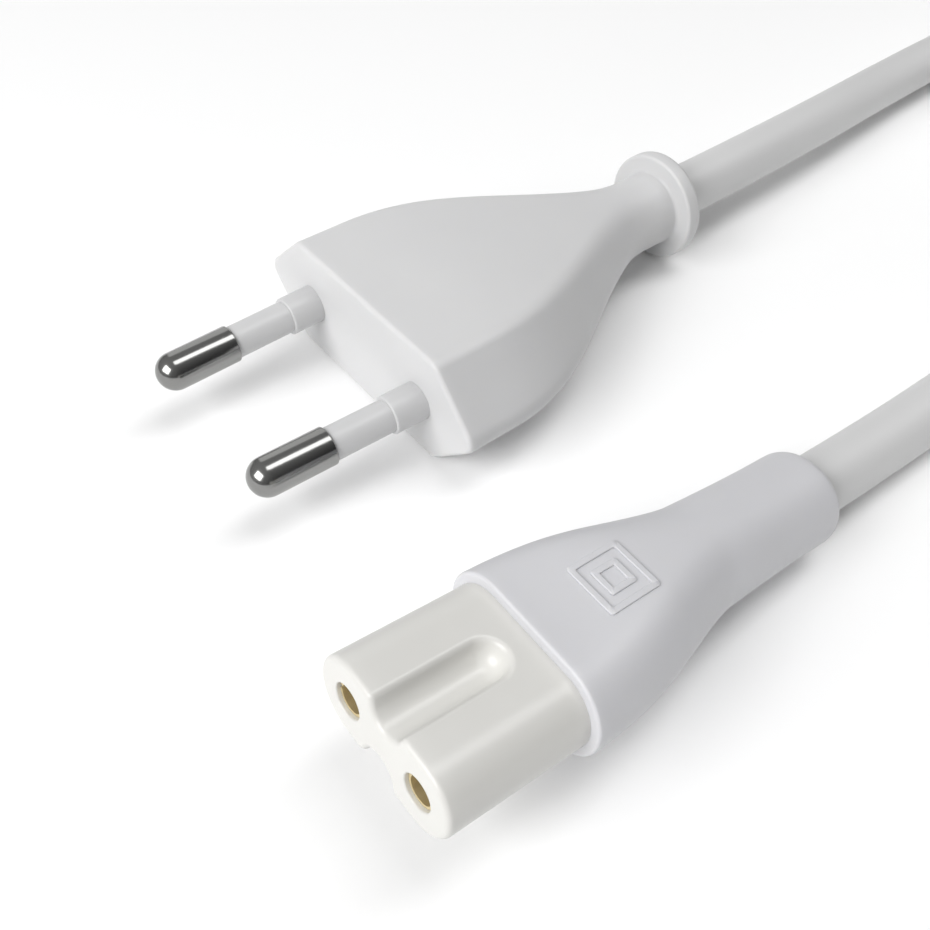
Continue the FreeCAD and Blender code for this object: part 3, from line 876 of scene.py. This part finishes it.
@dataclass
class Connector:
    """Figure-of-eight appliance connector: its hard nose, moulded body and raised mark."""

    # Nose, with a groove above and below
    contact_spacing: float = 8.6 * MM
    lobe_radius: float = 3.6 * MM
    lobe_steps: int = 28
    web_height: float = 3.3 * MM
    groove_length: float = 8.9 * MM
    groove_radius: float = 1.7 * MM
    groove_wall_angle: float = 70.0
    groove_rim: float = 0.6 * MM
    groove_least_share: float = 0.1
    nose_length: float = 13.1 * MM
    nose_edge: float = 0.5 * MM
    nose_band: float = 0.55 * MM
    root_length: float = 6.0 * MM
    root_step: float = 0.9 * MM

    # Holes, and the contacts in them
    hole_radius: float = 1.5 * MM
    hole_edge: float = 0.18 * MM
    hole_band: float = 0.288 * MM
    contact_recess: float = 0.4 * MM
    contact_depth: float = 11.0 * MM

    # Moulded body, a slot shape at the lip and nearly round at the tail
    mould_length: float = 35.5 * MM
    mould_height: float = 10.2 * MM
    lip: float = 0.9 * MM
    lip_edge: float = 0.3 * MM
    seat_overlap: float = 0.1 * MM
    rise_length: float = 12.0 * MM
    oval_length: float = 23.0 * MM
    oval_trace: float = 0.05
    arc_steps: int = 32
    side_steps: int = 6
    tail_radius: float = 4.65 * MM
    tail_length: float = 4.0 * MM
    tail_edge: float = 1.3 * MM
    cord_radius: float = 3.2 * MM
    cord_depth: float = 9.0 * MM
    cord_rim: float = 0.15 * MM

    # Raised double square
    mark_size: float = 5.4 * MM
    mark_inner_share: float = 0.5
    mark_place: float = 8.5 * MM
    mark_bar: float = 0.55 * MM
    mark_height: float = 0.16 * MM
    mark_edge: float = 0.048 * MM
    mark_corner_share: float = 0.12

    def __post_init__(self) -> None:
        """Take the connector's place from its two contact mounts."""
        live, out = mount("contact_live")
        neutral, _ = mount("contact_neutral")
        along = -out.normalized()
        across = (live - neutral).normalized()
        up = across.cross(along)
        face = (live + neutral) / 2 - along * (self.contact_recess + self.contact_depth / 2)
        turn = Matrix((across, along, up)).transposed().to_4x4()
        self.place = Matrix.Translation(face) @ turn
        self.half_spacing = self.contact_spacing / 2
        self.root_end = self.nose_length + self.root_length
        self.lay_out_groove()

    def lay_out_groove(self) -> None:
        """Find where the groove's round floor, steep wall and rounded rim meet across its width."""
        wall = math.radians(self.groove_wall_angle)
        self.groove_floor = self.lobe_radius - self.web_height / 2
        self.floor_end = self.groove_radius * math.sin(wall)
        foot = self.groove_floor - self.groove_radius * (1 - math.cos(wall))
        self.mouth = self.floor_end + foot / math.tan(wall)
        reach = self.groove_rim * math.tan(wall / 2)
        self.wall_end = self.mouth - reach * math.cos(wall)
        self.rim_end = self.mouth + reach
        floor = [self.groove_radius * math.sin(a) for a in steps(0, wall, count=12)]
        side = steps(self.floor_end, self.wall_end, count=4)[1:-1]
        rim = [self.rim_end - self.groove_rim * math.sin(a) for a in steps(wall, 0, count=8)]
        self.groove_samples = floor + side + rim

    def groove_depth(self, away: float) -> float:
        """Depth of the groove, which has a round floor, a steep wall and a rounded rim.

        Args:
            away: Distance from the groove's middle.

        Returns:
            Depth below the nose's flat side.
        """
        if away < self.floor_end:
            return self.groove_floor - self.groove_radius + math.sqrt(self.groove_radius ** 2 - away ** 2)
        if away < self.wall_end:
            return (self.mouth - away) * math.tan(math.radians(self.groove_wall_angle))
        if away < self.rim_end:
            return self.groove_rim - math.sqrt(self.groove_rim ** 2 - (self.rim_end - away) ** 2)
        return 0.0

    def nose_outline(self, y: float) -> Outline:
        """Outline of the nose: a slot shape with a groove above and below, round at its far end.

        Args:
            y: Distance behind the nose's face.

        Returns:
            The outline's points, as many at any distance.
        """
        past_end = max(y - self.groove_length, 0.0)
        # The points across the groove draw together towards its round end
        share = math.sqrt(max(1 - (past_end / self.rim_end) ** 2, self.groove_least_share))
        spread = [x * share for x in self.groove_samples]
        half = steps(self.half_spacing, spread[-1], count=5)[1:-1] + spread[::-1]
        outline = []
        for side in (1, -1):
            outline += round_end(side, self.half_spacing, self.lobe_radius, self.lobe_steps)
            for x in half + [-x for x in half[-2::-1]]:
                height = self.lobe_radius - self.groove_depth(math.hypot(x, past_end))
                outline.append(Vector((x, height)) * side)
        return outline

    def hole_profile(self) -> Profile:
        """Turned profile of a contact hole, from the flat round its mouth to its far end.

        Returns:
            Radius and distance behind the nose's face of each point.
        """
        edge = self.hole_edge
        mouth = rounded_corner((self.hole_radius + edge, edge), edge, -90, -180, count=5)
        return [(self.hole_radius + self.hole_band, 0)] + mouth + [(self.hole_radius, self.root_end)]

    def build_nose(self) -> None:
        """Model the hard nose with its grooves and its two through holes."""
        nose = start_mesh("connector_nose")
        front = self.nose_outline(0)
        rings = [ring_at(inset(front, self.nose_band), 0)]
        rings += rolled_front(front, 0, self.nose_edge, count=7)
        quarter = steps(0, math.pi / 2, count=20)
        groove_end = [self.groove_length + self.rim_end * math.sin(a) for a in quarter]
        places = steps(self.nose_edge, self.groove_length, count=8)[1:-1] + groove_end
        places += steps(groove_end[-1], self.nose_length, count=5)[1:]
        rings += [ring_at(self.nose_outline(y), y) for y in places]
        root_radius = self.lobe_radius - self.root_step
        root = obround(self.half_spacing, root_radius, self.lobe_steps, len(front) // 2 - self.lobe_steps)
        rings += [ring_at(root, self.nose_length), ring_at(root, self.root_end)]
        extrude_rings(nose, rings)
        around = circle(1.0, obround(0, 1.0, arc_steps=20, side_steps=2))
        for pole in Pole:
            centre = Vector((pole.value * self.half_spacing, 0))
            hole = [ring_at([centre + p * r for p in around], y) for r, y in self.hole_profile()]
            extrude_rings(nose, hole)
        fill_open_ends(nose, [0, self.root_end])
        close_mesh(nose, self.place)
        dress(nose, INSERT_PLASTIC, ["connector_insert"])

    def mould_size(self, y: float) -> tuple[float, float]:
        """Size of the slot shape that the moulded body has behind the lip.

        Args:
            y: Distance behind the lip.

        Returns:
            Half the distance between the centres of its round ends, and their radius.
        """
        full = self.mould_height / 2
        lip_radius = self.lobe_radius + self.lip
        fall_length = self.mould_length - self.tail_length - self.rise_length
        rise = ease(y / self.rise_length)
        fall = 1 - ease((y - self.rise_length) / fall_length)
        radius = full - (full - lip_radius) * rise - (full - self.tail_radius) * fall
        return self.half_spacing * max(ease(y / self.oval_length), self.oval_trace), radius

    def mould_slot(self, half_length: float, radius: float) -> Outline:
        """Slot shape with as many points as every section of the moulded body."""
        return obround(half_length, radius, self.arc_steps, self.side_steps)

    def build_mould(self) -> None:
        """Model the moulded body from the pocket behind its lip to the hole for the cord."""
        body = start_mesh("connector_moulding")
        start = self.nose_length
        end = start + self.mould_length
        pocket = self.mould_slot(self.half_spacing, self.lobe_radius - self.root_step)
        seat = self.mould_slot(self.half_spacing, self.lobe_radius - self.seat_overlap)
        rings = [ring_at(pocket, self.root_end), ring_at(pocket, start), ring_at(seat, start)]
        rings += rolled_front(self.mould_slot(*self.mould_size(0)), start, self.lip_edge, count=7)
        for y in steps(self.lip_edge, self.mould_length - self.tail_edge, count=60)[1:]:
            rings.append(ring_at(self.mould_slot(*self.mould_size(y)), start + y))
        tail = self.mould_slot(*self.mould_size(self.mould_length))
        rings += rolled_back(tail, end, self.tail_edge, count=9)[1:]
        rings += [ring_at(circle(self.cord_radius + self.cord_rim, tail), end)]
        rings += [ring_at(circle(self.cord_radius, tail), end - self.cord_rim)]
        rings += [ring_at(circle(self.cord_radius, tail), end - self.cord_depth)]
        extrude_rings(body, rings)
        fill_open_ends(body, [self.root_end, end - self.cord_depth])
        close_mesh(body, self.place)
        dress(body, CONNECTOR_PVC, ["connector_body"])

    def mark_ring(self, half_size: float, lift: float) -> Ring:
        """Rounded square on the top of the moulded body, which follows its curve.

        Args:
            half_size: Half the square's width.
            lift: Height above the body's surface.

        Returns:
            The square's points in order.
        """
        corners = [Vector((x * half_size, y * half_size)) for x, y in ((1, -1), (1, 1), (-1, 1), (-1, -1))]
        radii = [self.mark_corner_share * half_size] * len(corners)
        ring = []
        for point in rounded_outline(corners, radii, arc_steps=4, side_steps=14):
            half_length, radius = self.mould_size(self.mark_place + point.y)
            past_flat = max(abs(point.x) - half_length, 0.0)
            height = math.sqrt(radius * radius - past_flat * past_flat)
            ring.append(Vector((point.x, self.nose_length + self.mark_place + point.y, height + lift)))
        return ring

    def build_mark(self) -> None:
        """Raise the double square of double insulation on the top of the moulded body."""
        mark = start_mesh("connector_mark")
        top = self.mark_height
        bar = self.mark_bar
        edge = self.mark_edge
        section = [(0, -top), (0, top - edge), (edge, top), (bar - edge, top), (bar, top - edge),
                   (bar, -top), (0, -top)]
        half = self.mark_size / 2
        for half_size in (half, self.mark_inner_share * half):
            extrude_rings(mark, [self.mark_ring(half_size - depth, lift) for depth, lift in section])
        close_mesh(mark, self.place)
        dress(mark, CONNECTOR_PVC)

    def build(self) -> None:
        """Model and dress the whole connector."""
        self.build_nose()
        self.build_mould()
        self.build_mark()


# Parts whose solids keep their shape


@dataclass(frozen=True)
class InnerParts:
    """Parts inside the mouldings and the contacts, shown by their solids."""

    def dress(self) -> None:
        """Give each solid that stays the finish of its real material."""
        finishes = {"pin_carrier": CARRIER_NYLON}
        for pole, core in ((Pole.LIVE, CORE_BROWN), (Pole.NEUTRAL, CORE_BLUE)):
            finishes[f"contact_{pole.label}"] = CONTACT_BRASS
            for end in ("plug", "connector"):
                finishes[f"{end}_core_{pole.label}"] = core
                finishes[f"{end}_conductor_{pole.label}"] = CORE_COPPER
        for node, finish in finishes.items():
            finish.cover(frame["nodes"][node])
            LOG.info("kept %s in %s", node, finish.name)


# The cord


@dataclass(frozen=True)
class RingMove:
    """Move of the cord to another ring of the coil, between two sweeps in degrees."""

    start: float
    end: float
    column: int
    layer: int


@dataclass
class Cord:
    """Round cord from the plug to the connector, with its spare length in a tied coil."""

    diameter: float = 6.4 * MM
    length: float = 1.2

    # Route of the free ends, from the plug to the coil and from the coil to the connector
    plug_side: tuple[Point, ...] = ((0.0, 0.02185, 0.0066), (0.0, 0.052, 0.0066), (-0.0042, 0.092, 0.0040))
    connector_side: tuple[Point, ...] = ((0.053191, 0.085277, 0.0104), (0.040654, 0.045358, 0.0032),
                                         (0.040125, 0.020065, 0.0032), (0.039721, 0.000806, 0.005907))

    # Turns of the coil: two columns of rings, in up to three layers
    turns: int = 5
    sweep: float = 1645.0
    points_per_turn: int = 24
    moves: tuple[RingMove, ...] = (RingMove(250, 340, 1, 0), RingMove(590, 700, 1, 2),
                                   RingMove(955, 1045, 0, 2), RingMove(1290, 1365, 0, 1))

    # Strap round the turns
    strap_thickness: float = 0.8 * MM
    strap_width: float = 9.0 * MM
    strap_edge: float = 0.2 * MM
    strap_bearing: float = 67.2

    def __post_init__(self) -> None:
        """Take the coil's place from its solid."""
        low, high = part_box("cord_coil")
        self.centre = (low + high) / 2
        self.outer = (high.x - low.x) / 2
        self.base = low.z

    def ring_place(self, column: int, layer: int) -> tuple[float, float]:
        """Radius and height of one ring of the coil, by its column from outside and its layer."""
        radius = self.outer - self.diameter * (0.5 + column)
        return radius, self.base + self.diameter * (0.5 + layer)

    def turn_place(self, sweep: float) -> tuple[float, float]:
        """Radius and height of the cord on its way round the coil.

        Args:
            sweep: Angle from the coil's start, in degrees.

        Returns:
            Distance from the coil's axis, and height.
        """
        radius, height = self.ring_place(0, 0)
        for move in self.moves:
            to_radius, to_height = self.ring_place(move.column, move.layer)
            share = 1 - ease((sweep - move.start) / (move.end - move.start))
            radius = blend(radius, to_radius, share)
            height = blend(height, to_height, share)
        return radius, height

    def coil_points(self) -> list[Vector]:
        """Points round the turns of the coil, clockwise from its left side.

        Returns:
            The points in order.
        """
        points = []
        count = round(self.sweep / 360 * self.points_per_turn)
        # A curve on few points cuts inside them, so they stand a little further out
        spread = 1 / (1 - (math.pi / self.points_per_turn) ** 2 / 2)
        for sweep in steps(0, self.sweep, count + 1):
            radius, height = self.turn_place(sweep)
            bearing = math.radians(180 - sweep)
            points.append(Vector((self.centre.x + radius * spread * math.cos(bearing),
                                  self.centre.y + radius * spread * math.sin(bearing), height)))
        return points

    def build_cord(self) -> bpy.types.Object:
        """Draw the cord as one smooth curve with a round section.

        Returns:
            The cord.
        """
        route = [Vector(p) for p in self.plug_side] + self.coil_points()
        route += [Vector(p) for p in self.connector_side]
        curve = bpy.data.curves.new("mains_cord", "CURVE")
        curve.dimensions = "3D"
        spline = curve.splines.new("NURBS")
        spline.points.add(len(route) - 1)
        for control, point in zip(spline.points, route):
            control.co = (*point, 1.0)
        spline.order_u = 3
        spline.use_endpoint_u = True
        spline.resolution_u = 10
        curve.bevel_depth = self.diameter / 2
        curve.bevel_resolution = 10
        curve.use_fill_caps = True
        cord = bpy.data.objects.new("mains_cord", curve)
        bpy.context.scene.collection.objects.link(cord)
        dress(cord, CORD_PVC, ["cord_plug_side", "cord_coil", "cord_connector_side"])
        return cord

    def build_strap(self) -> bpy.types.Object:
        """Model the strap that holds the coil: a loop pulled tight round its turns, drawn out to a band.

        Returns:
            The strap.
        """
        sweeps = [180 - self.strap_bearing + 360 * turn for turn in range(self.turns)]
        bundle = [Vector(self.turn_place(sweep)) for sweep in sweeps]
        loop = taut_loop(bundle, (self.diameter + self.strap_thickness) / 2, count=72)
        half_width = self.strap_width / 2
        strap = start_mesh("coil_strap")
        extrude_rings(strap, [ring_at(loop, y) for y in steps(-half_width, half_width, count=9)])
        bpy.ops.object.mode_set(mode="OBJECT")
        thick = strap.modifiers.new("thickness", "SOLIDIFY")
        thick.thickness = self.strap_thickness
        thick.offset = 0.0
        bpy.ops.object.modifier_apply(modifier=thick.name)
        edge = strap.modifiers.new("edge", "BEVEL")
        edge.width = self.strap_edge
        edge.segments = 2
        edge.limit_method = "ANGLE"
        bpy.ops.object.modifier_apply(modifier=edge.name)
        bpy.ops.object.mode_set(mode="EDIT")
        bearing = Matrix.Rotation(math.radians(self.strap_bearing), 4, "Z")
        close_mesh(strap, Matrix.Translation((self.centre.x, self.centre.y, 0)) @ bearing)
        return dress(strap, TIE_STRAP, ["cord_tie"])

    def build(self) -> None:
        cord = self.build_cord()
        on_cord = [self.build_strap()]
        on_cord += [bpy.data.objects[f"connector_{piece}"] for piece in ("nose", "moulding", "mark")]
        for pole in Pole:
            for node in ("contact", "connector_core", "connector_conductor"):
                on_cord.append(frame["nodes"][f"{node}_{pole.label}"])


# Floor, light and camera


@dataclass(frozen=True)
class SoftBox:
    """One soft rectangular studio light, aimed at the lead."""

    name: str
    place: Point
    size: tuple[float, float]
    power: float
    only_mirrored: bool = False
    target: Point = (0.02, -0.01, 0.005)

    def build(self) -> None:
        """Hang the light and turn it to the lead."""
        light = bpy.data.lights.new(self.name, "AREA")
        light.shape = "RECTANGLE"
        light.size, light.size_y = self.size
        light.energy = self.power
        lamp = bpy.data.objects.new(self.name, light)
        lamp.location = self.place
        lamp.rotation_euler = (Vector(self.target) - Vector(self.place)).to_track_quat("-Z", "Y").to_euler()
        lamp.visible_diffuse = not self.only_mirrored
        bpy.context.scene.collection.objects.link(lamp)


@dataclass(frozen=True)
class Studio:
    """Pale floor, soft light and the camera at the photograph's angle."""

    floor_size: float = 3.0

    # The last light is a dim card beside the lead, which only bright metal and gloss mirror
    lights: tuple[SoftBox, ...] = (
        SoftBox("front_box", (0.02, -0.50, 0.37), (0.45, 0.35), 3.3),
        SoftBox("overhead_strip", (0.06, 0.22, 0.54), (0.22, 0.50), 1.3),
        SoftBox("pin_card", (-0.51, 0.27, 0.24), (0.50, 0.46), 0.50, only_mirrored=True))

    # Dim surround, brightest towards one side, and the even tone that is seen past the floor
    bright_side: Point = (-0.45, -0.55, 0.70)
    dark_facing: float = -0.6
    dark_strength: float = 0.02
    bright_strength: float = 0.45
    backdrop: float = 0.55

    # Camera, with its angles in radians and the photograph's focal length and width in pixels
    camera_azimuth: float = 0.85957
    camera_elevation: float = 0.8532
    camera_roll: float = 0.04493
    camera_distance: float = 95.0 * MM
    camera_nearest: float = 1.0 * MM
    focal_pixels: float = 1009.46
    image_pixels: float = 930.0
    sensor: float = 36.0
    target: Point = (0.018828, -0.014443, 0.0066)

    def build_floor(self) -> None:
        """Lay a matt pale floor under the lead."""
        clear_selection()
        bpy.ops.mesh.primitive_plane_add(size=self.floor_size)
        floor = bpy.context.object
        floor.name = "studio_floor"
        FLOOR_PAPER.cover(floor)

    def build_surround(self) -> None:
        """Surround the lead with dim light that comes mostly from one side."""
        world = bpy.data.worlds.new("studio_surround")
        bpy.context.scene.world = world
        world.use_nodes = True
        tree = world.node_tree
        tree.nodes.clear()
        output = add_node(tree, "ShaderNodeOutputWorld")
        view = add_node(tree, "ShaderNodeTexCoord")
        facing = add_node(tree, "ShaderNodeVectorMath", {"operation": "DOT_PRODUCT", 1: self.bright_side},
                          {0: view.outputs["Generated"]})
        strength = add_node(tree, "ShaderNodeMapRange",
                            {"From Min": self.dark_facing, "To Min": self.dark_strength,
                             "To Max": self.bright_strength}, {"Value": facing.outputs["Value"]})
        # Seen past the edge of the floor, the surround is an even pale backdrop
        ray = add_node(tree, "ShaderNodeLightPath")
        seen = add_node(tree, "ShaderNodeMix", {"data_type": "FLOAT", MIX_SECOND_NUMBER: self.backdrop},
                        {MIX_SHARE: ray.outputs["Is Camera Ray"], MIX_FIRST_NUMBER: strength.outputs[0]})
        sky = add_node(tree, "ShaderNodeBackground", {"Color": (1.0, 1.0, 1.0, 1.0)},
                       {"Strength": seen.outputs[0]})
        tree.links.new(sky.outputs[0], output.inputs[0])

    def build_camera(self) -> None:
        """Set up the camera where the photograph was taken from."""
        flat = math.cos(self.camera_elevation)
        back = Vector((math.sin(self.camera_azimuth) * flat, -math.cos(self.camera_azimuth) * flat,
                       math.sin(self.camera_elevation)))
        level = Vector((math.cos(self.camera_azimuth), math.sin(self.camera_azimuth), 0))
        upright = back.cross(level)
        right = level * math.cos(self.camera_roll) + upright * math.sin(self.camera_roll)
        up = back.cross(right)
        data = bpy.data.cameras.new("photo_camera")
        data.sensor_width = self.sensor
        data.lens = self.sensor * self.focal_pixels / self.image_pixels
        data.clip_start = self.camera_nearest
        camera = bpy.data.objects.new("photo_camera", data)
        turn = Matrix((right, up, back)).transposed().to_4x4()
        camera.matrix_world = Matrix.Translation(Vector(self.target) + back * self.camera_distance) @ turn
        bpy.context.scene.collection.objects.link(camera)
        bpy.context.scene.camera = camera
        bpy.context.scene.view_settings.view_transform = "Standard"

    def build(self) -> None:
        """Set up the floor, the light and the camera."""
        self.build_floor()
        for light in self.lights:
            light.build()
        self.build_surround()
        self.build_camera()


def main() -> None:
    """Build the lead and its studio."""
    logging.basicConfig(level=logging.INFO, format="%(message)s")
    Plug().build()
    Connector().build()
    InnerParts().dress()
    Cord().build()
    Studio().build()
    clear_selection()


if __name__ == "__main__":
    main()
